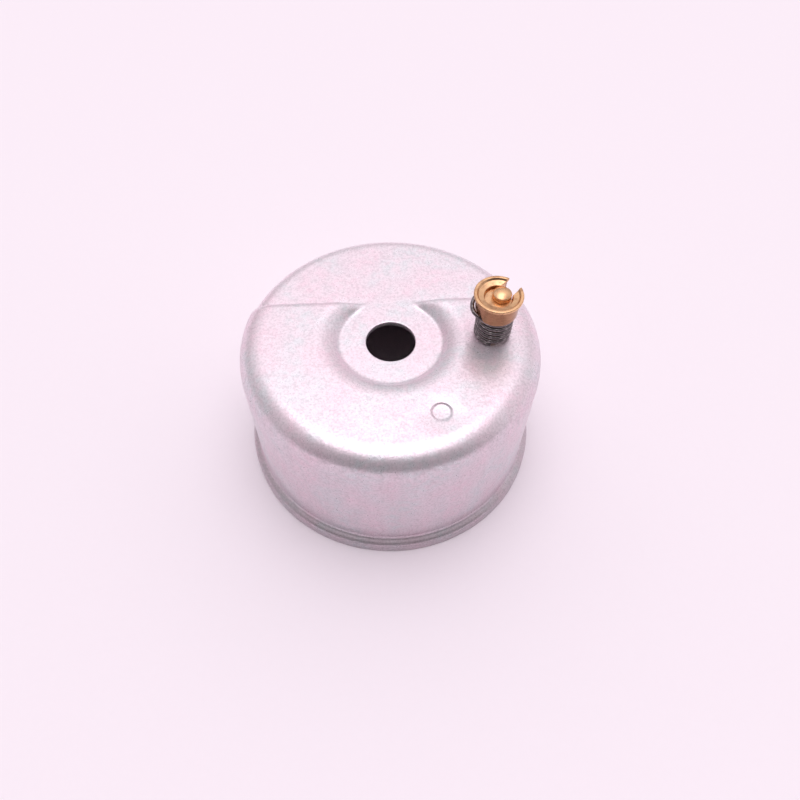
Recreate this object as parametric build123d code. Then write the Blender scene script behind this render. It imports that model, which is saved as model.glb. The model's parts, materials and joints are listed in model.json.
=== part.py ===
from build123d import *
import os
from math import acos, cos, degrees, hypot, radians, sin, sqrt

# A drawn steel float bowl for a small carburettor, standing upside down on its open rim,
# with a spring-loaded brass drain valve in its floor. Millimetres and degrees.
# The rim's plane is z = 0, the bowl's axis is Z, and the bowl's floor is at the top.

# Drawn steel bowl
sheet = 1.0                   # thickness of the steel
body_radius = 29.0            # outside of the straight wall
shallow_height = 30.0         # rim to the outside of the shallow floor and of the nut's seat
sump_drop = 2.5               # how much further out the deep floor stands
shallow_corner = 3.5          # outside radius where the shallow floor turns into the wall
sump_corner = 5.0             # the same for the deep floor
step_wall_y = 9.2             # wall between the deep floor and the shallow floor
step_lip_bend = 2.0           # outside radius along the top of that wall

# Round seat for the bowl nut, pressed back into the deep floor
nut_hole_radius = 4.75
seat_radius = 9.5             # flat part of the seat
seat_foot_bend = 0.5          # bend from the seat up into its wall
seat_to_seal = 1.47           # flat floor left between the seat's lip bend and the seal

# Rolled-out rim
rim_flare = 1.5               # how far the rim stands out from the wall
rim_lip_height = 1.8          # straight stretch of the rim
rim_bend_inside = 0.4         # inside radius where the rim turns inward
flare_bend_outside = 1.0      # outside radius where the flare runs into the wall
flare_slope = 60.0            # how far the flare turns away from upright

# Punched dent in the deep floor
dent_x = 8.1
dent_y = -17.85
dent_radius = 2.0
dent_depth = 0.35

# Drain valve
valve_from_wall = 9.16        # stem's axis to the outside of the wall
valve_angle = -0.58           # stem's place round the bowl, from +X
stem_radius = 1.25
drain_passage = 0.75          # gap round the stem that the fuel runs through
flange_radius = 3.5
flange_thickness = 1.0
head_overlap = 0.25           # how far the head reaches over the slot's edge on each side
head_height = 1.38
head_round = 0.4
seal_radius = 4.0
seal_thickness = 1.5
seat_gap = 0.02               # between faces that rest on each other
stem_fit = 0.05               # round the stem, inside the seal

# Spring, as it sits when the valve is shut
spring_wire = 0.8
spring_radius = 3.5           # outside of the coils
spring_length = 6.2
spring_turns = 5

# Slotted retainer cup
retainer_height = 4.5
retainer_base_radius = 3.85
retainer_base_round = 0.35
retainer_base_thickness = 3.1
retainer_waist_radius = 4.0   # body just under the lip
retainer_lip_radius = 4.45
retainer_lip_width = 0.6      # flat ring on top of the lip
retainer_lip_height = 0.5
retainer_lip_slope = 0.3      # height of the slope under the lip
retainer_dish_depth = 0.6     # slope from the lip down to the pocket for the stem's head
head_fit = 0.12               # between the head and the pocket at the edges of the slot
slot_fit = 0.2                # each side of the stem in the slot
slot_angle = 38.0             # which way the slot opens, from +X
retainer_slip = 0.93          # how far the stem and the slot's round end stand out from the cup's axis

# Worked out from the sizes above
floor_outside = shallow_height + sump_drop
floor_inside = floor_outside - sheet
rim_radius = body_radius + rim_flare
valve_radius = body_radius - valve_from_wall
stem_x = valve_radius * cos(radians(valve_angle))
stem_y = valve_radius * sin(radians(valve_angle))
drain_hole_radius = stem_radius + drain_passage
cup_x = stem_x - retainer_slip * cos(radians(slot_angle))
cup_y = stem_y - retainer_slip * sin(radians(slot_angle))
seal_bottom = floor_inside - seat_gap - seal_thickness
flange_bottom = seal_bottom - flange_thickness
seat_run = valve_radius - seal_radius - seat_to_seal - seat_radius
seat_lip_bend = (seat_run ** 2 + sump_drop ** 2) / (2 * sump_drop) - seat_foot_bend
cup_bottom = floor_outside + spring_length
cup_floor = cup_bottom + retainer_base_thickness
head_bottom = cup_floor + seat_gap
slot_half = stem_radius + slot_fit
head_radius = slot_half + head_overlap
head_along_slot = retainer_slip + sqrt(head_radius ** 2 - slot_half ** 2)
pocket_radius = hypot(head_along_slot, slot_half) + head_fit
reach = 2 * rim_radius        # longer than anything that it has to cut across


def on_arc(centre, radius, angle):
    """Point of a section, as (distance from the axis, height)."""
    return (centre[0] + radius * cos(radians(angle)), centre[1] + radius * sin(radians(angle)))


def section_face(lines):
    """Closed face in the XZ plane from lines drawn as (distance from the axis, height)."""
    return make_face(Plane.XZ * Curve(lines))


def flare_centres():
    """Centres of the two bends between the rim and the wall, which all skins share."""
    lip_bend = rim_bend_inside + sheet
    run = (lip_bend + flare_bend_outside) * (1 - cos(radians(flare_slope)))
    straight = (rim_flare - run) / sin(radians(flare_slope))
    low = (rim_radius - lip_bend, rim_lip_height)
    low_end = on_arc(low, lip_bend, flare_slope)
    high_start = on_arc(low_end, straight, flare_slope + 90)
    high = on_arc(high_start, flare_bend_outside, flare_slope)
    return low, high


def turned_form(height, corner, inset):
    """Solid of revolution under the bowl's skin, with the skin moved inward by inset."""
    low, high = flare_centres()
    lip_bend = rim_bend_inside + sheet - inset
    wall_bend = flare_bend_outside + inset
    turn = (body_radius - corner, height - corner)
    bend = corner - inset
    rim_point = on_arc(low, lip_bend, 0)
    flare_start = on_arc(low, lip_bend, flare_slope)
    flare_end = on_arc(high, wall_bend, 180 + flare_slope)
    wall_start = on_arc(high, wall_bend, 180)
    wall_end = on_arc(turn, bend, 0)
    floor_edge = on_arc(turn, bend, 90)
    lines = [
        Line((0, 0), (rim_point[0], 0)),
        Line((rim_point[0], 0), rim_point),
        ThreePointArc(rim_point, on_arc(low, lip_bend, flare_slope / 2), flare_start),
        Line(flare_start, flare_end),
        ThreePointArc(flare_end, on_arc(high, wall_bend, 180 + flare_slope / 2), wall_start),
        Line(wall_start, wall_end),
        ThreePointArc(wall_end, on_arc(turn, bend, 45), floor_edge),
        Line(floor_edge, (0, floor_edge[1])),
        Line((0, floor_edge[1]), (0, 0)),
    ]
    return revolve(section_face(lines), axis=Axis.Z)


def seat_cut(inset):
    """Space above the nut's seat: a flat floor, a small foot bend and a broad lip bend that
    ends short of the drain seal."""
    bends = seat_foot_bend + seat_lip_bend
    turn = degrees(acos(max(0.0, 1 - sump_drop / bends)))
    straight = sump_drop - bends * (1 - cos(radians(turn)))
    run = bends * sin(radians(turn))
    foot = (seat_radius, shallow_height + seat_foot_bend)
    lip = (seat_radius + run, floor_outside - seat_lip_bend)
    foot_bend = seat_foot_bend + inset
    lip_bend = seat_lip_bend - inset
    foot_start = on_arc(foot, foot_bend, -90)
    foot_end = on_arc(foot, foot_bend, -90 + turn)
    lip_start = on_arc(lip, lip_bend, 90 + turn)
    lip_end = on_arc(lip, lip_bend, 90)
    top = floor_outside + sheet
    lines = [
        Line((0, foot_start[1]), foot_start),
        ThreePointArc(foot_start, on_arc(foot, foot_bend, -90 + turn / 2), foot_end),
        ThreePointArc(lip_start, on_arc(lip, lip_bend, 90 + turn / 2), lip_end),
        Line(lip_end, (lip_end[0], top)),
        Line((lip_end[0], top), (0, top)),
        Line((0, top), (0, foot_start[1])),
    ]
    if straight > 0:
        lines.append(Line(foot_end, lip_start))
    return revolve(section_face(lines), axis=Axis.Z)


def sump_side(inset):
    """Everything on the deep side of the step, with the bend along the step's top."""
    wall = step_wall_y - inset
    top = floor_outside - inset
    bend = step_lip_bend - inset
    outline = Plane.YZ * Curve([
        Line((-reach, 0), (wall, 0)),
        Line((wall, 0), (wall, top - bend)),
        ThreePointArc((wall, top - bend), on_arc((wall - bend, top - bend), bend, 45), (wall - bend, top)),
        Line((wall - bend, top), (-reach, top)),
        Line((-reach, top), (-reach, 0)),
    ])
    return extrude(make_face(outline), amount=reach, dir=(1, 0, 0), both=True)


def bowl_form(inset):
    """Solid under the whole skin: the shallow form and the deep one that stands out of it."""
    deep = turned_form(floor_outside, sump_corner, inset) & sump_side(inset)
    return turned_form(shallow_height, shallow_corner, inset) + (deep - seat_cut(inset))


def upright(x, y, bottom, radius, height):
    """Cylinder standing at x, y on a given height."""
    return Pos(x, y, bottom + height / 2) * Cylinder(radius, height)


def bowl():
    shell = bowl_form(0) - bowl_form(sheet)
    ball = (dent_radius ** 2 + dent_depth ** 2) / (2 * dent_depth)
    ball_centre = Pos(dent_x, dent_y, floor_outside - dent_depth + ball)
    bulge = ball_centre * Sphere(ball + sheet)
    bulge = bulge & upright(dent_x, dent_y, floor_inside - sheet, ball, 1.5 * sheet)
    shell = shell + bulge - ball_centre * Sphere(ball)
    shell = shell - upright(0, 0, shallow_height - 2 * sheet, nut_hole_radius, 3 * sheet)
    return shell - upright(stem_x, stem_y, floor_inside - sheet, drain_hole_radius, 3 * sheet)


def drain_stem():
    """One turned pin: flange inside the bowl, stem through the floor, head in the retainer."""
    flange = upright(stem_x, stem_y, flange_bottom, flange_radius, flange_thickness)
    stem = upright(stem_x, stem_y, flange_bottom, stem_radius, head_bottom - flange_bottom)
    head = upright(stem_x, stem_y, head_bottom, head_radius, head_height)
    head = fillet(head.edges().group_by(Axis.Z)[-1], head_round)
    return flange + stem + head


def drain_seal():
    ring = upright(stem_x, stem_y, seal_bottom, seal_radius, seal_thickness)
    return ring - upright(stem_x, stem_y, seal_bottom, stem_radius + stem_fit, seal_thickness)


def drain_spring():
    """Round wire coil between the bowl's floor and the retainer's base."""
    wire = spring_wire / 2
    coil_radius = spring_radius - wire
    rise = spring_length - spring_wire - 2 * seat_gap
    path = Helix(pitch=rise / spring_turns, height=rise, radius=coil_radius, lefthand=True)
    section = Plane(origin=path @ 0, z_dir=path % 0) * Circle(wire)
    coil = sweep(section, path=path, is_frenet=True)
    return Pos(cup_x, cup_y, floor_outside + seat_gap + wire) * coil


def spring_retainer():
    """Turned disc with a lip and a pocket for the stem's head, cut by a slot from the stem
    out through one side."""
    top = cup_bottom + retainer_height
    under_lip = top - retainer_lip_height
    outside = [
        (0, cup_bottom),
        (retainer_base_radius - retainer_base_round, cup_bottom),
        (retainer_base_radius, cup_bottom + retainer_base_round),
        (retainer_waist_radius, under_lip - retainer_lip_slope),
        (retainer_lip_radius, under_lip),
        (retainer_lip_radius, top),
    ]
    inside = [
        (retainer_lip_radius - retainer_lip_width, top),
        (pocket_radius, top - retainer_dish_depth),
        (pocket_radius, cup_floor),
        (0, cup_floor),
    ]
    cup = revolve(make_face(Plane.XZ * Polyline(*outside, *inside, close=True)), axis=Axis.Z)
    slot_length = 2 * retainer_lip_radius
    from_end = (Align.MIN, Align.CENTER, Align.CENTER)
    groove = Box(slot_length, 2 * slot_half, 2 * retainer_height, align=from_end)
    groove = groove + Cylinder(slot_half, 2 * retainer_height)
    groove = Pos(0, 0, cup_bottom) * Rot(0, 0, slot_angle) * Pos(retainer_slip, 0, 0) * groove
    groove = groove + Pos(0, 0, retainer_height) * groove
    return Pos(cup_x, cup_y, 0) * (cup - groove)


parts = {
    "bowl": bowl(),
    "drain_stem": drain_stem(),
    "drain_seal": drain_seal(),
    "drain_spring": drain_spring(),
    "spring_retainer": spring_retainer(),
}

os.makedirs("parts", exist_ok=True)
for name, shape in parts.items():
    shape.label = name
    export_step(shape, f"parts/{name}.step")
    print(name, "volume", round(shape.volume, 2), "solids", len(shape.solids()))
print("stem axis", round(stem_x, 4), round(stem_y, 4), "cup axis", round(cup_x, 4), round(cup_y, 4))
print("seat lip bend", round(seat_lip_bend, 3), "pocket radius", round(pocket_radius, 3))
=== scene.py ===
import json
from math import acos, asin, cos, hypot, pi, radians, sin, sqrt

import bmesh
import bpy
from mathutils import Matrix, Vector


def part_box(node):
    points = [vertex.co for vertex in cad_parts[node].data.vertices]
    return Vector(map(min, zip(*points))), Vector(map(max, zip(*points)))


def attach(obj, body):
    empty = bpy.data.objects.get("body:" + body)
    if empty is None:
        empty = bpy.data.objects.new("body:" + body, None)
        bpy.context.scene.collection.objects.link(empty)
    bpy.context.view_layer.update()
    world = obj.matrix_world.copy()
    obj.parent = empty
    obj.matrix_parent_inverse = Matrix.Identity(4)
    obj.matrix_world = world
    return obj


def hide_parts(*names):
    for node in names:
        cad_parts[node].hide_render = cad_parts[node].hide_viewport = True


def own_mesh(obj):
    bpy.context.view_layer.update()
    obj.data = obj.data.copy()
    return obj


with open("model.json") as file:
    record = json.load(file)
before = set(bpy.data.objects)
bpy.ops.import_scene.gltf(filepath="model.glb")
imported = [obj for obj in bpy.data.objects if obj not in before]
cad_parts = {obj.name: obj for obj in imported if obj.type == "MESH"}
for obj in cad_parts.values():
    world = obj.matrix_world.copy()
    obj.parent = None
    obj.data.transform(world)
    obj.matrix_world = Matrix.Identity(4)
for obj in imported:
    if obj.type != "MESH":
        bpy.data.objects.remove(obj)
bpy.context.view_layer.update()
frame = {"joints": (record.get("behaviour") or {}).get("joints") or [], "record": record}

mm = 0.001                    # every size below is in millimetres, and meshes are made in metres

# sizes that the frame already holds
mounts = {mount["name"]: mount for mount in frame["record"]["mounts"]}
joints = {joint["name"]: joint for joint in frame["joints"]}


def nodeBox(node):
    low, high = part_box(node)
    return low / mm, high / mm


def nodeAxis(node):
    low, high = nodeBox(node)
    return (low.x + high.x) / 2, (low.y + high.y) / 2


bowlHigh = nodeBox("bowl")[1]
stemLow, stemHigh = nodeBox("drain_stem")
sealLow, sealHigh = nodeBox("drain_seal")
cupLow, cupHigh = nodeBox("spring_retainer")
springLow = nodeBox("drain_spring")[0]
stemAxis = nodeAxis("drain_stem")
springAxis = nodeAxis("drain_spring")
rimRadius = bowlHigh.x
deepHeight = bowlHigh.z
seatHeight = mounts["nut_seat"]["pos_m"][2] / mm
nutHole = mounts["nut_bore"]["dims"]["r_mm"]
sheetSteel = rimRadius - mounts["rim_bore"]["dims"]["r_mm"]
print("frame read: rim", round(rimRadius, 2), "floor", round(deepHeight, 2), "sheet", round(sheetSteel, 2))


# ---- helpers: sums on sockets, node trees, plain meshes
class Wire:                   # a socket that can stand in a sum
    def __init__(self, tree, socket=None):
        self.tree = tree
        self.socket = socket

    def node(self, kind, settings=None, values=None, out=0):
        made = self.tree.nodes.new(kind)
        for name, value in (settings or {}).items():
            if name == "bends":
                layBends(made.mapping, value)
            else:
                setattr(made, name, value)
        for name, value in (values or {}).items():
            if isinstance(value, Wire):
                self.tree.links.new(value.socket, made.inputs[name])
            else:
                made.inputs[name].default_value = value
        return Wire(self.tree, made.outputs[out])

    def other(self, name):
        return Wire(self.tree, self.socket.node.outputs[name])

    def maths(self, operation, *values):
        return self.node("ShaderNodeMath", {"operation": operation}, dict(enumerate(values)))

    def __add__(self, value):
        return self.maths("ADD", self, value)

    def __radd__(self, value):
        return self.maths("ADD", value, self)

    def __sub__(self, value):
        return self.maths("SUBTRACT", self, value)

    def __rsub__(self, value):
        return self.maths("SUBTRACT", value, self)

    def __mul__(self, value):
        return self.maths("MULTIPLY", self, value)

    def __rmul__(self, value):
        return self.maths("MULTIPLY", value, self)

    def __truediv__(self, value):
        return self.maths("DIVIDE", self, value)

    def root(self):
        return self.maths("SQRT", self)

    def within(self, low, high):
        return self.maths("MINIMUM", self.maths("MAXIMUM", self, low), high)

    def rise(self, low, high, first=0.0, last=1.0):      # smooth step from first to last
        return self.node("ShaderNodeMapRange", {"interpolation_type": "SMOOTHSTEP"}, {
            "Value": self, "From Min": low, "From Max": high, "To Min": first, "To Max": last})

    def tint(self, first, last, kind="MIX"):             # colour mixed by this value
        return self.node("ShaderNodeMix", {"data_type": "RGBA", "blend_type": kind}, {
            0: self, 6: first, 7: last}, 2)

    def parts(self):
        x = self.node("ShaderNodeSeparateXYZ", None, {0: self})
        return x, x.other("Y"), x.other("Z")

    def joined(self, x, y, z):
        return self.node("ShaderNodeCombineXYZ", None, {0: x, 1: y, 2: z})

    def stretched(self, x, y, z):
        return self.node("ShaderNodeVectorMath", {"operation": "MULTIPLY"}, {0: self, 1: (x, y, z)})

    def grain(self, size, detail=2.0, rough=0.5):        # noise with features about size millimetres
        return self.node("ShaderNodeTexNoise", None, {
            "Vector": self, "Scale": 1 / (size * mm), "Detail": detail, "Roughness": rough})


def layBends(mapping, bends):
    curve = mapping.curves[0]
    while len(curve.points) < len(bends):
        curve.points.new(0.5, 0.5)
    for point, place in zip(curve.points, bends):
        point.location = place
        point.handle_type = "VECTOR"
    mapping.update()


def newMaterial(name, steady):
    material = bpy.data.materials.new(name)
    material.use_nodes = True
    shader = material.node_tree.nodes["Principled BSDF"]
    for socket, value in steady.items():
        shader.inputs[socket].default_value = value
    return material, Wire(material.node_tree), shader


def feed(shader, socket, wire):
    wire.tree.links.new(wire.socket, shader.inputs[socket])


def newTree(name, inputs, takesMesh):
    tree = bpy.data.node_groups.new(name, "GeometryNodeTree")
    if takesMesh:
        tree.interface.new_socket("Geometry", in_out="INPUT", socket_type="NodeSocketGeometry")
    for label, kind in inputs.items():
        tree.interface.new_socket(label, in_out="INPUT", socket_type="NodeSocket" + kind)
    tree.interface.new_socket("Geometry", in_out="OUTPUT", socket_type="NodeSocketGeometry")
    return Wire(tree).node("NodeGroupInput")


def closeTree(mesh, material):
    realized = mesh.node("GeometryNodeRealizeInstances", None, {"Geometry": mesh})
    painted = realized.node("GeometryNodeSetMaterial", None, {"Geometry": realized, "Material": material})
    end = painted.tree.nodes.new("NodeGroupOutput")
    painted.tree.links.new(painted.socket, end.inputs[0])


def newPiece(name, mesh):
    piece = bpy.data.objects.new(name, mesh)
    bpy.context.scene.collection.objects.link(piece)
    return piece


def runTree(piece, tree, values):
    maker = piece.modifiers.new("maker", "NODES")
    maker.node_group = tree
    for item in tree.interface.items_tree:
        if item.in_out == "INPUT" and item.name in values:
            maker[item.identifier] = values[item.name]
    settle(piece)


def settle(piece):            # leaves a plain mesh in place of the modifiers
    bpy.context.view_layer.update()
    shaped = piece.evaluated_get(bpy.context.evaluated_depsgraph_get())
    mesh = bpy.data.meshes.new_from_object(shaped)
    piece.modifiers.clear()
    piece.data = mesh
    mesh.name = piece.name


def volume(mesh):
    solid = bmesh.new()
    solid.from_mesh(mesh)
    size = solid.calc_volume(signed=True)
    solid.free()
    return size / mm ** 3


def arc(centre, radius, first, last, steps):
    turns = [radians(first + (last - first) * step / steps) for step in range(steps + 1)]
    return [(centre[0] + radius * cos(turn), centre[1] + radius * sin(turn)) for turn in turns]


def spread(first, last, count):
    return [first + (last - first) * step / count for step in range(count + 1)]


def softened(corners, steps=5):
    # (radius, height, bend) corners become a line with an arc at each corner that has a bend,
    # and a point just before and after each arc keeps the flat faces beside it flat
    line = []
    leadIn, leastSine = 0.35, 0.05
    for index, (r, z, bend) in enumerate(corners):
        here = Vector((r, z))
        if not bend:
            line.append((r, z))
            continue
        before = (Vector(corners[index - 1][:2]) - here).normalized()
        after = (Vector(corners[(index + 1) % len(corners)][:2]) - here).normalized()
        half = before.angle(after) / 2
        reach = bend / max(leastSine, sin(half)) * cos(half)
        centre = here + (before + after).normalized() * (bend / sin(half))
        start = here + before * reach - centre
        sweep = start.angle_signed(here + after * reach - centre)
        line.append(tuple(centre + start + before * bend * leadIn))
        for step in range(steps + 1):
            turn = Matrix.Rotation(-sweep * step / steps, 2)
            line.append(tuple(centre + turn @ start))
        line.append(tuple(here + after * (reach + bend * leadIn)))
    return line


def turned(name, line, axis, lines, closed):
    # a lathe's shape: the line goes round the axis, and its open ends meet the axis
    mesh = bpy.data.meshes.new(name)
    points, faces = [], []
    for step in range(lines):
        turn = 2 * pi * step / lines
        for r, z in line:
            points.append(((axis[0] + r * cos(turn)) * mm, (axis[1] + r * sin(turn)) * mm, z * mm))
    rows = len(line)
    for step in range(lines):
        here, there = step * rows, (step + 1) % lines * rows
        for row in range(rows if closed else rows - 1):
            up = (row + 1) % rows
            faces.append((here + row, there + row, there + up, here + up))
    mesh.from_pydata(points, [], faces)
    piece = newPiece(name, mesh)
    cleanUp(mesh)
    return piece


def cleanUp(mesh):
    weld = 0.002 * mm
    solid = bmesh.new()
    solid.from_mesh(mesh)
    bmesh.ops.remove_doubles(solid, verts=solid.verts, dist=weld)
    bmesh.ops.recalc_face_normals(solid, faces=solid.faces)
    for face in solid.faces:
        face.smooth = True
    solid.to_mesh(mesh)
    solid.free()


def finishPiece(piece, body, node, material=None):
    if material:
        piece.data.materials.clear()
        piece.data.materials.append(material)
    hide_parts(node)
    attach(piece, body)
    triangles = sum(len(face.vertices) - 2 for face in piece.data.polygons)
    print("made", piece.name, "triangles", triangles, "volume", round(volume(piece.data), 1))


# ---- finishes
zinc = {
    "tone": (0.83, 0.72, 0.78, 1), "coolTone": (0.76, 0.75, 0.79, 1), "warmTone": (0.87, 0.69, 0.77, 1),
    "metallic": 0.62, "roughness": 0.33, "roughnessSpread": 0.30,
    "crystal": 0.42, "mottle": 1.6, "cloud": 7.0, "streak": 0.9,
    "grainDepth": 0.018, "waveDepth": 0.040,
    # the wall and rim-band shade values below paint shade into the colour
    "speckle": 0.24, "wallShade": 0.10, "rimDirt": 0.30,
    "wallFrom": 27.4, "wallTo": 28.8, "drawnRadius": 29, "drawnHeight": 0.06, "streakShade": 0.16,
    "streakDepth": 0.012, "mottleRoughness": 0.10, "dirtFrom": 2.0, "dirtTo": 5.0,
}
brass = {
    # the darker brass colour serves both real tarnish spots and painted shade under the cup's lip
    "tone": (0.80, 0.49, 0.27, 1), "tarnish": (0.36, 0.18, 0.10, 1), "underLip": 0.85,
    "roughness": 0.27, "ringPitch": 0.16, "ringDepth": 0.004,
    "stain": 1.5, "speck": 0.25, "speckDepth": 0.002,
    "lipDepth": (0.95, 0.55), "lipReach": (3.5, 3.7),
}
# the bright wire colour serves both scuffs and painted glints
springSteel = {"tone": (0.17, 0.145, 0.15, 1), "bright": (0.55, 0.50, 0.50, 1),
               "roughness": 0.24, "roughnessSpread": 0.12, "scuff": 0.7, "fine": 0.5, "drawDepth": 0.003}
rubber = {"tone": (0.018, 0.017, 0.018, 1), "dusty": (0.055, 0.052, 0.053, 1),
          "roughness": 0.62, "roughnessSpread": 0.25, "dust": 1.1, "pores": 0.18, "poreDepth": 0.02}


def zincPlate():
    material, wire, shader = newMaterial("zincPlate", {"Metallic": zinc["metallic"]})
    place = wire.node("ShaderNodeTexCoord", out="Object")
    x, y, z = place.parts()
    distance = (x * x + y * y).root() + 1e-6
    wall = distance.rise(zinc["wallFrom"] * mm, zinc["wallTo"] * mm)
    crystal = place.grain(zinc["crystal"], 3.0, 0.6)
    mottle = place.grain(zinc["mottle"], 3.0, 0.55)
    cloud = place.stretched(1, 1, 0.6).grain(zinc["cloud"], 1.0)
    # drawn marks run up the wall, so they change round the bowl and hardly along its height
    drawnRadius = zinc["drawnRadius"] * mm
    drawn = place.joined(x / distance * drawnRadius, y / distance * drawnRadius, z * zinc["drawnHeight"])
    streak = drawn.grain(zinc["streak"], 3.0, 0.6)
    colour = cloud.rise(0.35, 0.65).tint(zinc["coolTone"], zinc["warmTone"])
    colour = mottle.rise(0.3, 0.7).tint(colour, zinc["tone"])
    shade = 1 - (crystal.rise(0.35, 0.7) - 0.5) * zinc["speckle"]
    shade = shade - (streak - 0.5) * wall * zinc["streakShade"]
    # painted shade: the wall is darkened a little, and the band where the rim turns out is darkened more
    rimShadeFactor = z.rise(zinc["dirtFrom"] * mm, zinc["dirtTo"] * mm, 1 - zinc["rimDirt"], 1.0)
    shade = shade * (1 - wall * zinc["wallShade"]) * rimShadeFactor
    colour = place.node("ShaderNodeMix", {"data_type": "RGBA", "blend_type": "MULTIPLY"}, {
        0: 1.0, 6: colour, 7: shade}, 2)
    roughness = zinc["roughness"] + (crystal - 0.5) * zinc["roughnessSpread"]
    roughness = roughness + (mottle - 0.5) * zinc["mottleRoughness"]
    height = crystal * zinc["grainDepth"] + mottle * zinc["waveDepth"] + streak * wall * zinc["streakDepth"]
    bump = place.node("ShaderNodeBump", None, {"Strength": 1.0, "Distance": mm, "Height": height})
    feed(shader, "Base Color", colour)
    feed(shader, "Roughness", roughness)
    feed(shader, "Normal", bump)
    return material


def turnedBrass(name, axis):
    material, wire, shader = newMaterial(name, {"Metallic": 1.0})
    place = wire.node("ShaderNodeTexCoord", out="Object")
    x, y, z = place.parts()
    x = x - axis[0] * mm
    y = y - axis[1] * mm
    distance = (x * x + y * y).root()
    # tool marks go round the axis: they change with distance and height only
    rings = place.joined(distance, z, 0.0).grain(brass["ringPitch"], 2.0, 0.5)
    stain = place.grain(brass["stain"], 3.0, 0.6)
    speck = place.grain(brass["speck"], 2.0, 0.5)
    age = stain.rise(0.42, 0.75) * 0.75 + speck.rise(0.6, 0.75) * 0.25
    colour = age.tint(brass["tone"], brass["tarnish"])
    # painted shade: the cup's outside is darkened below its lip, towards the darker brass colour
    lowest, highest = (cupHigh.z - depth for depth in brass["lipDepth"])
    nearest, farthest = brass["lipReach"]
    below = z.rise(lowest * mm, highest * mm, 1.0, 0.0) * distance.rise(nearest * mm, farthest * mm)
    colour = (below * brass["underLip"]).tint(colour, brass["tarnish"])
    roughness = brass["roughness"] + (stain - 0.5) * 0.18 + (rings - 0.5) * 0.10
    height = rings * brass["ringDepth"] + speck * brass["speckDepth"]
    bump = place.node("ShaderNodeBump", None, {"Strength": 1.0, "Distance": mm, "Height": height})
    feed(shader, "Base Color", colour)
    feed(shader, "Roughness", roughness)
    feed(shader, "Normal", bump)
    return material


def drawnWire():
    material, wire, shader = newMaterial("drawnWire", {"Metallic": 1.0})
    place = wire.node("ShaderNodeTexCoord", out="Object")
    scuff = place.grain(springSteel["scuff"], 3.0, 0.6)
    fine = place.stretched(1, 1, 5).grain(springSteel["fine"], 3.0, 0.6)
    # brighter patches at random over the wire: partly scuffs, partly painted glints
    colour = scuff.rise(0.48, 0.74).tint(springSteel["tone"], springSteel["bright"])
    roughness = springSteel["roughness"] + (fine - 0.5) * springSteel["roughnessSpread"]
    height = fine * springSteel["drawDepth"]
    bump = place.node("ShaderNodeBump", None, {"Strength": 1.0, "Distance": mm, "Height": height})
    feed(shader, "Base Color", colour)
    feed(shader, "Roughness", roughness)
    feed(shader, "Normal", bump)
    return material


def blackRubber():
    material, wire, shader = newMaterial("blackRubber", {"Specular IOR Level": 0.4})
    place = wire.node("ShaderNodeTexCoord", out="Object")
    dust = place.grain(rubber["dust"], 4.0, 0.65)
    pores = place.grain(rubber["pores"], 2.0, 0.5)
    colour = dust.rise(0.5, 0.8).tint(rubber["tone"], rubber["dusty"])
    roughness = rubber["roughness"] + (dust - 0.5) * rubber["roughnessSpread"]
    height = pores * rubber["poreDepth"]
    bump = place.node("ShaderNodeBump", None, {"Strength": 1.0, "Distance": mm, "Height": height})
    feed(shader, "Base Color", colour)
    feed(shader, "Roughness", roughness)
    feed(shader, "Normal", bump)
    return material


zincFinish = zincPlate()
stemFinish = turnedBrass("turnedBrassStem", stemAxis)
cupFinish = turnedBrass("turnedBrassCup", springAxis)
wireFinish = drawnWire()
rubberFinish = blackRubber()
print("finishes made")


# ---- the drawn bowl
bowl = {
    "bodyRadius": 29.0, "shallowCorner": 3.5, "deepCorner": 5.0,
    "seatRadius": 9.5, "seatLip": 5.0, "seatFoot": 1.0,
    "stepStart": 7.2, "stepLip": 2.2, "stepFoot": 0.7, "tipInner": 3.6, "tipOuter": 7.5,
    "lipHeight": 1.8, "lipInside": 0.4, "flareOutside": 1.0, "flareSlope": 60.0,
    "edgeRound": 0.16,
    "dent": (8.1, -17.85), "dentRadius": 2.0, "dentDepth": 0.3, "dentWall": 0.45,
    "dishReach": (4.4, 6.0), "dishDepth": 0.3,
    "linesAround": 396, "wallRows": (0.015, 0.08, 0.3, 0.55, 0.8, 0.95, 0.99), "tipFront": 5.0,
    # where the lines round the bowl change their spacing, as (first angle, gap in degrees)
    "spans": [(-180, 1.25), (-73, 0.32), (-58, 1.25), (13, 0.5), (46, 1.25), (134, 0.5), (167, 1.25)],
}


def seatDrop(r, inset):
    # how far the seat lies under the deep floor at radius r, through its lip and foot bends
    drop = deepHeight - seatHeight
    lip, foot = bowl["seatLip"] - inset, bowl["seatFoot"] + inset
    turn = acos(1 - drop / (lip + foot))
    run = (lip + foot) * sin(turn)
    into = bowl["seatRadius"] + run - r
    upper = min(max(into, 0), lip * sin(turn))
    lower = min(max(run - into, 0), foot * sin(turn))
    fall = lip - sqrt(lip ** 2 - upper ** 2)
    return fall + foot * (1 - cos(turn)) - (foot - sqrt(foot ** 2 - lower ** 2))


def seatEdge():
    drop = deepHeight - seatHeight
    bends = bowl["seatLip"] + bowl["seatFoot"]
    return bowl["seatRadius"] + sqrt(2 * drop * bends - drop ** 2)


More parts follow.
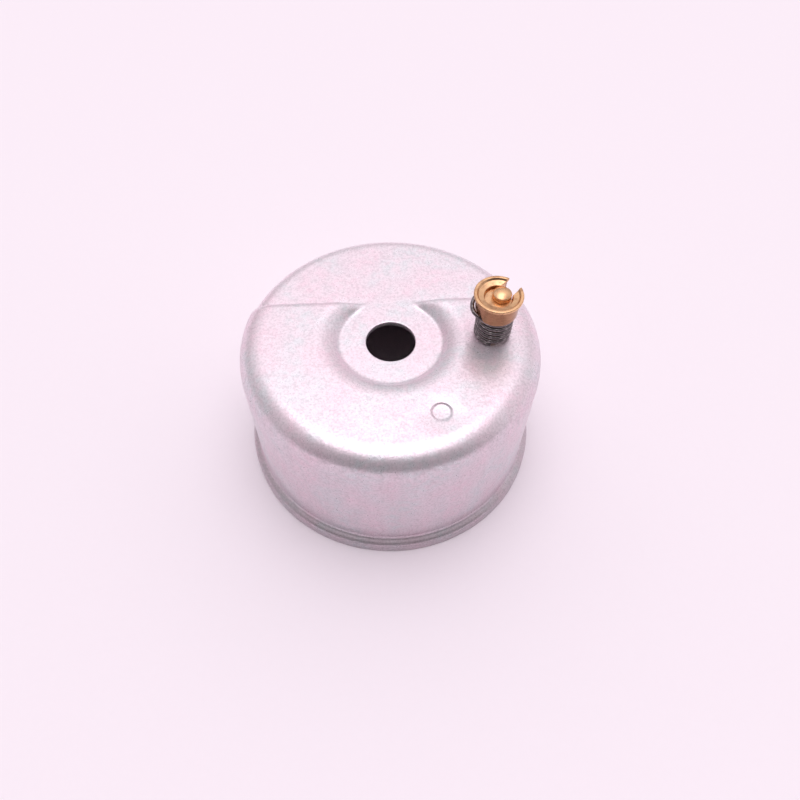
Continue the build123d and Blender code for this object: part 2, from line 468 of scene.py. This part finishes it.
def skinRows(inset, radii, steps):
    # rows of one skin from the nut's hole out to the rim, each as (shallow, deep, on the floor)
    shallowEdge = bowl["bodyRadius"] - bowl["shallowCorner"]
    deepEdge = bowl["bodyRadius"] - bowl["deepCorner"]
    middle = (shallowEdge + deepEdge) / 2
    rows = []
    for r in radii:
        reach = max(0.0, (r - seatEdge()) / (middle - seatEdge()))
        shallow = (r + reach * (shallowEdge - middle), seatHeight - inset)
        deep = (r + reach * (deepEdge - middle), deepHeight - inset - seatDrop(r, inset))
        rows.append((shallow, deep, 1.0))
    shallowTurn = (shallowEdge, seatHeight - bowl["shallowCorner"])
    deepTurn = (deepEdge, deepHeight - bowl["deepCorner"])
    outer = arc(shallowTurn, bowl["shallowCorner"] - inset, 90, 0, steps)
    inner = arc(deepTurn, bowl["deepCorner"] - inset, 90, 0, steps)
    rows += [(shallow, deep, 0.0) for shallow, deep in list(zip(outer, inner))[1:]]
    lipBend = bowl["lipInside"] + sheetSteel
    slope = radians(bowl["flareSlope"])
    run = (lipBend + bowl["flareOutside"]) * (1 - cos(slope))
    straight = (rimRadius - bowl["bodyRadius"] - run) / sin(slope)
    low = (rimRadius - lipBend, bowl["lipHeight"])
    lipEnd = arc(low, lipBend, bowl["flareSlope"], bowl["flareSlope"], 1)[0]
    flareTop = (lipEnd[0] - straight * sin(slope), lipEnd[1] + straight * cos(slope))
    high = (flareTop[0] + bowl["flareOutside"] * cos(slope), flareTop[1] + bowl["flareOutside"] * sin(slope))
    wall = bowl["bodyRadius"] - inset
    for share in bowl["wallRows"]:
        shallow = (wall, shallowTurn[1] + (high[1] - shallowTurn[1]) * share)
        deep = (wall, deepTurn[1] + (high[1] - deepTurn[1]) * share)
        rows.append((shallow, deep, 0.0))
    flare = arc(high, bowl["flareOutside"] + inset, 180, 180 + bowl["flareSlope"], steps)
    flare += arc(low, lipBend - inset, bowl["flareSlope"], 0, steps)
    rows += [(point, point, 0.0) for point in flare]
    return rows


def bowlSection():
    # the whole section as one loop: outside skin, rim's edge, inside skin, hole's edge
    edge = bowl["edgeRound"]
    close = [nutHole + edge, nutHole + 2.5 * edge, 6.2, 7.8, 9.0, 9.3]
    recess = spread(bowl["seatRadius"], seatEdge(), 24)
    floor = spread(14.6, 15.5, 3) + spread(15.65, 20.3, 38) + spread(20.5, 24.75, 15)
    outside = [row + (0.0,) for row in skinRows(0.0, close + recess + floor, 12)]
    closeInside = [nutHole + edge, nutHole + 2.5 * edge, 6.5, 8.6]
    floorInside = spread(bowl["seatRadius"] - 0.3, seatEdge(), 12) + spread(14.9, 24.75, 24)
    inside = [row + (sheetSteel,) for row in skinRows(sheetSteel, closeInside + floorInside, 7)]
    innerRim = rimRadius - sheetSteel
    rim = [(rimRadius, 3 * edge)]
    rim += arc((rimRadius - edge, edge), edge, 0, -90, 3) + [(rimRadius - sheetSteel / 2, 0.0)]
    rim += arc((innerRim + edge, edge), edge, -90, -180, 3) + [(innerRim, 3 * edge)]
    top, under = seatHeight - edge, seatHeight - sheetSteel + edge
    hole = arc((nutHole + edge, under), edge, 270, 180, 3)[1:] + [(nutHole, seatHeight - sheetSteel / 2)]
    hole += arc((nutHole + edge, top), edge, 180, 90, 3)[:-1]
    rows = outside + [(point, point, 0.0, 0.0) for point in rim]
    rows += inside[::-1] + [(point, point, 0.0, 0.0) for point in hole]
    return rows


def sectionMesh(rows):
    mesh = bpy.data.meshes.new("bowlSection")
    mesh.from_pydata([(shallow[0] * mm, 0, shallow[1] * mm) for shallow, deep, floor, inset in rows], [], [])
    kept = {
        "shallowPoint": [(shallow[0], shallow[1], inset) for shallow, deep, floor, inset in rows],
        "deepPoint": [(deep[0], deep[1], floor) for shallow, deep, floor, inset in rows],
    }
    for name, values in kept.items():
        attribute = mesh.attributes.new(name, "FLOAT_VECTOR", "POINT")
        attribute.data.foreach_set("vector", [part for value in values for part in value])
    return mesh


def angleBends():
    # lines stand closer where the step meets the wall and at the dent
    spans = bowl["spans"]
    ends = [start for start, gap in spans[1:]] + [180]
    total = sum((end - start) / gap for (start, gap), end in zip(spans, ends))
    bends, used = [(0.0, 0.0)], 0.0
    for (start, gap), end in zip(spans, ends):
        used += (end - start) / gap
        bends.append((used / total, (end + 180) / 360))
    return bends


def bowlTree():
    given = newTree("drawnBowl", {
        "Lines Around": "Int", "Step Start": "Float", "Step Lip": "Float", "Step Foot": "Float",
        "Step Drop": "Float", "Tip": "Vector", "Dent Place": "Vector", "Dent Radius": "Float",
        "Dent Wall": "Float", "Dent Depth": "Float", "Dish Reach": "Vector", "Dish Depth": "Float",
        "Material": "Material"}, True)
    section = given.other("Geometry")
    lines = given.other("Lines Around")
    rows = given.node("GeometryNodeAttributeDomainSize", {"component": "MESH"}, {0: section})
    sheetGrid = given.node("GeometryNodeMeshGrid", None, {"Vertices X": lines + 1, "Vertices Y": rows + 1})
    index = given.node("GeometryNodeInputIndex")
    column = ((index + 0.5) / (rows + 1)).maths("FLOOR", (index + 0.5) / (rows + 1))
    row = (index - column * (rows + 1)).maths("FLOORED_MODULO", index - column * (rows + 1), rows)

    def sampled(name):
        value = given.node("GeometryNodeInputNamedAttribute", {"data_type": "FLOAT_VECTOR"}, {"Name": name})
        found = given.node("GeometryNodeSampleIndex", {"data_type": "FLOAT_VECTOR"}, {
            "Geometry": section, "Value": value, "Index": row})
        return found.parts()

    shallowR, shallowZ, inset = sampled("shallowPoint")
    deepR, deepZ, floor = sampled("deepPoint")
    share = given.node("ShaderNodeFloatCurve", {"bends": angleBends()}, {"Value": column / lines})
    angle = (share * 360 - 180) * (pi / 180)
    cosine, sine = angle.maths("COSINE", angle), angle.maths("SINE", angle)

    def deepShare(radius):    # 1 on the deep floor, 0 on the shallow one, through a lip and a foot bend
        drop = given.other("Step Drop")
        lip, foot = given.other("Step Lip") - inset, given.other("Step Foot") + inset
        level = 1 - drop / (lip + foot)
        lean = (1 - level * level).root()
        into = radius * sine - given.other("Step Start")
        upper = into.within(0.0, lip * lean)
        lower = ((lip + foot) * lean - into).within(0.0, foot * lean)
        fall = lip - (lip * lip - upper * upper).root()
        fall = fall + foot * (1 - level) - (foot - (foot * foot - lower * lower).root())
        return 1 - fall / drop

    roughShare = deepShare((shallowR + deepR) * 0.5)
    deepness = deepShare(shallowR + (deepR - shallowR) * roughShare)
    radius = shallowR + (deepR - shallowR) * deepness
    x, y = radius * cosine, radius * sine
    # the ridge between the step and the seat runs out in a rounded tip
    tipInner, tipOuter, tipFront = given.other("Tip").parts()
    tip = x.maths("ABSOLUTE", x).rise(tipInner, tipOuter)
    deepness = deepness * (1 - (1 - tip) * y.rise(tipFront, given.other("Step Start") + 1.5))
    dentX, dentY = given.other("Dent Place").parts()[:2]
    away = ((x - dentX) * (x - dentX) + (y - dentY) * (y - dentY)).root()
    dentRadius = given.other("Dent Radius")
    dent = away.rise(dentRadius - given.other("Dent Wall"), dentRadius, 1.0, 0.0) * given.other("Dent Depth")
    farReach, nearReach = given.other("Dish Reach").parts()[:2]
    side = (y - dentY).rise(-1.5, 1.5)
    dish = away.rise(0.0, nearReach + (farReach - nearReach) * side, 1.0, 0.0) * given.other("Dish Depth")
    z = shallowZ + (deepZ - shallowZ) * deepness - (dent + dish) * floor
    place = given.joined(x * mm, y * mm, z * mm)
    formed = given.node("GeometryNodeSetPosition", None, {"Geometry": sheetGrid, "Position": place})
    closed = given.node("GeometryNodeMergeByDistance", None, {"Geometry": formed, "Distance": 0.001 * mm})
    smooth = given.node("GeometryNodeSetShadeSmooth", None, {"Geometry": closed})
    closeTree(smooth, given.other("Material"))
    return given.tree


bowlPiece = newPiece("floatBowl", sectionMesh(bowlSection()))
runTree(bowlPiece, bowlTree(), {
    "Lines Around": bowl["linesAround"], "Step Start": bowl["stepStart"], "Step Lip": bowl["stepLip"],
    "Step Foot": bowl["stepFoot"], "Step Drop": deepHeight - seatHeight,
    "Tip": (bowl["tipInner"], bowl["tipOuter"], bowl["tipFront"]), "Dent Place": (*bowl["dent"], 0.0),
    "Dent Radius": bowl["dentRadius"], "Dent Wall": bowl["dentWall"], "Dent Depth": bowl["dentDepth"],
    "Dish Reach": (*bowl["dishReach"], 0.0), "Dish Depth": bowl["dishDepth"], "Material": zincFinish})
if volume(bowlPiece.data) < 0:
    bowlPiece.data.flip_normals()
finishPiece(bowlPiece, "bowl", "bowl")


# ---- the return spring
spring = {
    "wire": 0.8, "coilRadius": 3.1, "closedTurn": 0.8, "pitch": 1.12, "turns": 5.05, "lastAngle": 240.0,
    "tailTurn": 120.0, "tailRadius": 4.42, "tailRise": 1.5, "stepsPerTurn": 48, "wireSides": 14,
}


def springTree():
    given = newTree("returnSpring", {
        "Steps": "Int", "Angles": "Vector", "Coil Radius": "Float", "Tail Radius": "Float",
        "Heights": "Vector", "Tail Rise": "Float", "Wire": "Float", "Wire Sides": "Int", "Axis": "Vector",
        "Material": "Material"}, False)
    line = given.node("GeometryNodeCurvePrimitiveLine")
    line = given.node("GeometryNodeResampleCurve", None, {"Curve": line, "Count": given.other("Steps")})
    index = given.node("GeometryNodeInputIndex")
    first, coilEnd, last = given.other("Angles").parts()
    bottom, closedRise, pitch = given.other("Heights").parts()
    angle = first + (last - first) * (index / (given.other("Steps") - 1))
    turns = (angle - first) / (-2 * pi)
    tail = (angle - coilEnd) / (last - coilEnd)
    radius = given.other("Coil Radius")
    radius = radius + (given.other("Tail Radius") - radius) * tail.rise(0.0, 0.42)
    opened = turns.within(0.0, (first - coilEnd) / (2 * pi))
    height = bottom + opened * pitch - opened.within(0.0, 1.0) * (pitch - closedRise)
    height = height + given.other("Tail Rise") * tail.rise(0.0, 0.36)
    axisX, axisY = given.other("Axis").parts()[:2]
    x = axisX + radius * angle.maths("COSINE", angle)
    y = axisY + radius * angle.maths("SINE", angle)
    place = given.joined(x * mm, y * mm, height * mm)
    coil = given.node("GeometryNodeSetPosition", None, {"Geometry": line, "Position": place})
    ring = given.node("GeometryNodeCurvePrimitiveCircle", None, {
        "Resolution": given.other("Wire Sides"), "Radius": given.other("Wire") * (mm / 2)})
    drawn = given.node("GeometryNodeCurveToMesh", None, {
        "Curve": coil, "Profile Curve": ring, "Fill Caps": True})
    smooth = given.node("GeometryNodeSetShadeSmooth", None, {"Geometry": drawn})
    closeTree(smooth, given.other("Material"))
    return given.tree


springPiece = newPiece("returnSpring", bpy.data.meshes.new("returnSpring"))
coilEnd = radians(spring["lastAngle"])
springFirst = coilEnd + 2 * pi * spring["turns"]
tailEnd = coilEnd - radians(spring["tailTurn"])
springSteps = int((springFirst - tailEnd) / (2 * pi) * spring["stepsPerTurn"])
runTree(springPiece, springTree(), {
    "Steps": springSteps, "Angles": (springFirst, coilEnd, tailEnd),
    "Coil Radius": spring["coilRadius"], "Tail Radius": spring["tailRadius"],
    "Heights": (springLow.z + spring["wire"] / 2, spring["closedTurn"], spring["pitch"]),
    "Tail Rise": spring["tailRise"], "Wire": spring["wire"], "Wire Sides": spring["wireSides"],
    "Axis": (*springAxis, 0.0), "Material": wireFinish})
if volume(springPiece.data) < 0:
    springPiece.data.flip_normals()
# its raised end lies against the cup, so the spring turns and sinks with the cup
finishPiece(springPiece, "retainer", "drain_spring")
room = cupLow.z - deepHeight
travel = joints["drain_push"]["range_m"][1] / mm
(room - travel) / room
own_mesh(springPiece)


# ---- the turned stem and its seal
stem = {
    "flange": 3.5, "flangeHeight": 1.0, "shank": 1.25, "head": 1.7, "headHeight": 1.38, "dome": 0.55,
    "linesAround": 96,
}


def stemLine():
    flangeTop = stemLow.z + stem["flangeHeight"]
    headBottom = stemHigh.z - stem["headHeight"]
    # the head's top is a shallow dome that meets the head's side at the shoulder
    rise = stem["dome"]
    ball = (stem["head"] ** 2 + rise ** 2) / (2 * rise)
    lean = asin(stem["head"] / ball)
    dome = [(ball * sin(lean * share), stemHigh.z - ball + ball * cos(lean * share), 0)
            for share in (1.0, 0.92, 0.84, 0.72, 0.6, 0.48, 0.36, 0.24, 0.12, 0.0)]
    return softened([
        (0.0, stemLow.z, 0), (stem["flange"], stemLow.z, 0.15), (stem["flange"], flangeTop, 0.15),
        (stem["shank"], flangeTop, 0.1), (stem["shank"], headBottom, 0.0),
        (stem["head"], headBottom, 0.12)] + dome)


stemPiece = turned("drainStem", stemLine(), stemAxis, stem["linesAround"], False)
finishPiece(stemPiece, "drain_valve", "drain_stem", stemFinish)

seal = {"fit": 0.05, "innerRound": 0.12, "outerRound": 0.35, "linesAround": 80}
sealInner = stem["shank"] + seal["fit"]
sealOuter = (sealHigh.x - sealLow.x) / 2
sealPiece = turned("drainSeal", softened([
    (sealInner, sealLow.z, seal["innerRound"]), (sealOuter, sealLow.z, seal["outerRound"]),
    (sealOuter, sealHigh.z, seal["outerRound"]), (sealInner, sealHigh.z, seal["innerRound"])]),
    stemAxis, seal["linesAround"], True)
finishPiece(sealPiece, "drain_valve", "drain_seal", rubberFinish)


# ---- the slotted cup that holds the spring
cup = {
    "slot": 1.45, "slotAngle": 38.0, "linesAround": 132, "slotEdge": 0.08, "edgeSteps": 3,
    "sharpest": 50, "floor": 3.1,
    "outside": [(3.85, 0.0, 0.35), (4.0, 3.65, 0.12), (4.45, 3.98, 0.14), (4.45, 4.5, 0.2)],
    "inside": [(3.9, 4.5, 0.14), (3.62, 4.16, 0.16), (2.6, 3.86, 0.2), (2.42, 3.1, 0.1)],
}
slotEnd = hypot(stemAxis[0] - springAxis[0], stemAxis[1] - springAxis[1])


def cupPiece():
    corners = [(cup["slot"], 0.0, 0.0)] + cup["outside"] + cup["inside"] + [(cup["slot"], cup["floor"], 0.0)]
    line = softened(corners, 6)
    points, faces = [], []
    rows, lines = len(line), cup["linesAround"]
    slotTurn, pocket = radians(cup["slotAngle"]), cup["inside"][-1][0]
    for step in range(lines + 1):
        for r, z in line:
            # the innermost rows close round the stem, at the slot's end, and the outer ones round the cup
            lean = slotEnd * min(1.0, max(0.0, (pocket - r) / (pocket - cup["slot"])))
            mouth = asin(min(1.0, cup["slot"] / r))
            turn = slotTurn + mouth + (2 * pi - 2 * mouth) * step / lines
            x = springAxis[0] + lean * cos(slotTurn) + r * cos(turn)
            y = springAxis[1] + lean * sin(slotTurn) + r * sin(turn)
            points.append((x * mm, y * mm, (cupLow.z + z) * mm))
    for step in range(lines):
        here, there = step * rows, (step + 1) * rows
        for row in range(rows):
            up = (row + 1) % rows
            faces.append((here + row, there + row, there + up, here + up))
    faces.append(tuple(range(rows)))
    faces.append(tuple(lines * rows + row for row in reversed(range(rows))))
    mesh = bpy.data.meshes.new("springCup")
    mesh.from_pydata(points, [], faces)
    piece = newPiece("springCup", mesh)
    cleanUp(mesh)
    softEdge = piece.modifiers.new("softEdge", "BEVEL")
    softEdge.width = cup["slotEdge"] * mm
    softEdge.segments = cup["edgeSteps"]
    softEdge.limit_method = "ANGLE"
    softEdge.angle_limit = radians(cup["sharpest"])
    softEdge.use_clamp_overlap = False
    settle(piece)
    return piece


cupObject = cupPiece()
finishPiece(cupObject, "retainer", "spring_retainer", cupFinish)


# ---- floor, light and camera
studio = {
    "floorTone": (0.96, 0.89, 0.945, 1), "floorSize": 1.2,
    "lightTone": (1.0, 0.945, 0.985, 1), "skyLevel": 2.75, "backLevel": 1.05, "sideLevel": 0.60,
    "frontLevel": 0.13, "sideLean": 0.26,
    "overhead": (0.78, 1.0), "behind": (0.05, 0.55), "behindRise": (0.25, 0.70), "inFront": (0.15, 0.75),
    "pulp": 1.2, "pulpShade": 0.985,
}
shot = {
    "aim": (0.92, -15.26, 32.5), "distance": 121.1, "azimuth": -4.08, "elevation": 56.31, "roll": 1.11,
    "lens": 30.908, "sensor": 36, "nearest": 0.005, "farthest": 10,
}


def layFloor():
    mesh = bpy.data.meshes.new("studioFloor")
    half = studio["floorSize"] / 2
    corners = [(-half, -half, 0), (half, -half, 0), (half, half, 0), (-half, half, 0)]
    mesh.from_pydata(corners, [], [(0, 1, 2, 3)])
    ground = newPiece("studioFloor", mesh)
    material, wire, shader = newMaterial("palePaper", {"Roughness": 0.9, "Specular IOR Level": 0.1})
    place = wire.node("ShaderNodeTexCoord", out="Object")
    pulp = place.grain(studio["pulp"], 4.0, 0.6)
    tone = studio["floorTone"]
    darker = tuple(part * studio["pulpShade"] for part in tone[:3]) + (1,)
    feed(shader, "Base Color", pulp.tint(tone, darker))
    mesh.materials.append(material)


def lightRoom():
    # soft room light: bright overhead and behind, dimmer at the sides, dark low in front
    world = bpy.data.worlds.new("softRoom")
    world.use_nodes = True
    bpy.context.scene.world = world
    lamp = world.node_tree.nodes["Background"]
    wire = Wire(world.node_tree)
    x, y, z = wire.node("ShaderNodeTexCoord", out="Generated").parts()
    overhead = z.rise(*studio["overhead"])
    behind = y.rise(*studio["behind"]) * z.rise(*studio["behindRise"])
    inFront = (0 - y).rise(*studio["inFront"])
    side = studio["sideLevel"] * (1 + x * studio["sideLean"])
    level = side + behind * (studio["backLevel"] - side)
    level = level + inFront * (studio["frontLevel"] - level)
    level = level + overhead * (studio["skyLevel"] - level)
    world.node_tree.links.new(level.socket, lamp.inputs["Strength"])
    lamp.inputs["Color"].default_value = studio["lightTone"]


def setCamera():
    turn, rise, roll = (radians(shot[name]) for name in ("azimuth", "elevation", "roll"))
    back = Vector((sin(turn) * cos(rise), -cos(turn) * cos(rise), sin(rise)))
    right = Vector((cos(turn), sin(turn), 0))
    up = back.cross(right)
    across = right * cos(roll) + up * sin(roll)
    upright = up * cos(roll) - right * sin(roll)
    place = (Vector(shot["aim"]) + back * shot["distance"]) * mm
    lens = bpy.data.cameras.new("benchCamera")
    lens.lens = shot["lens"]
    lens.sensor_width = shot["sensor"]
    lens.clip_start = shot["nearest"]
    lens.clip_end = shot["farthest"]
    camera = bpy.data.objects.new("benchCamera", lens)
    bpy.context.scene.collection.objects.link(camera)
    axes = Matrix((across, upright, back)).transposed().to_4x4()
    camera.matrix_world = Matrix.Translation(place) @ axes
    bpy.context.scene.camera = camera


layFloor()
lightRoom()
setCamera()
bpy.context.scene.view_settings.view_transform = "Standard"
print("floor, light and camera set")
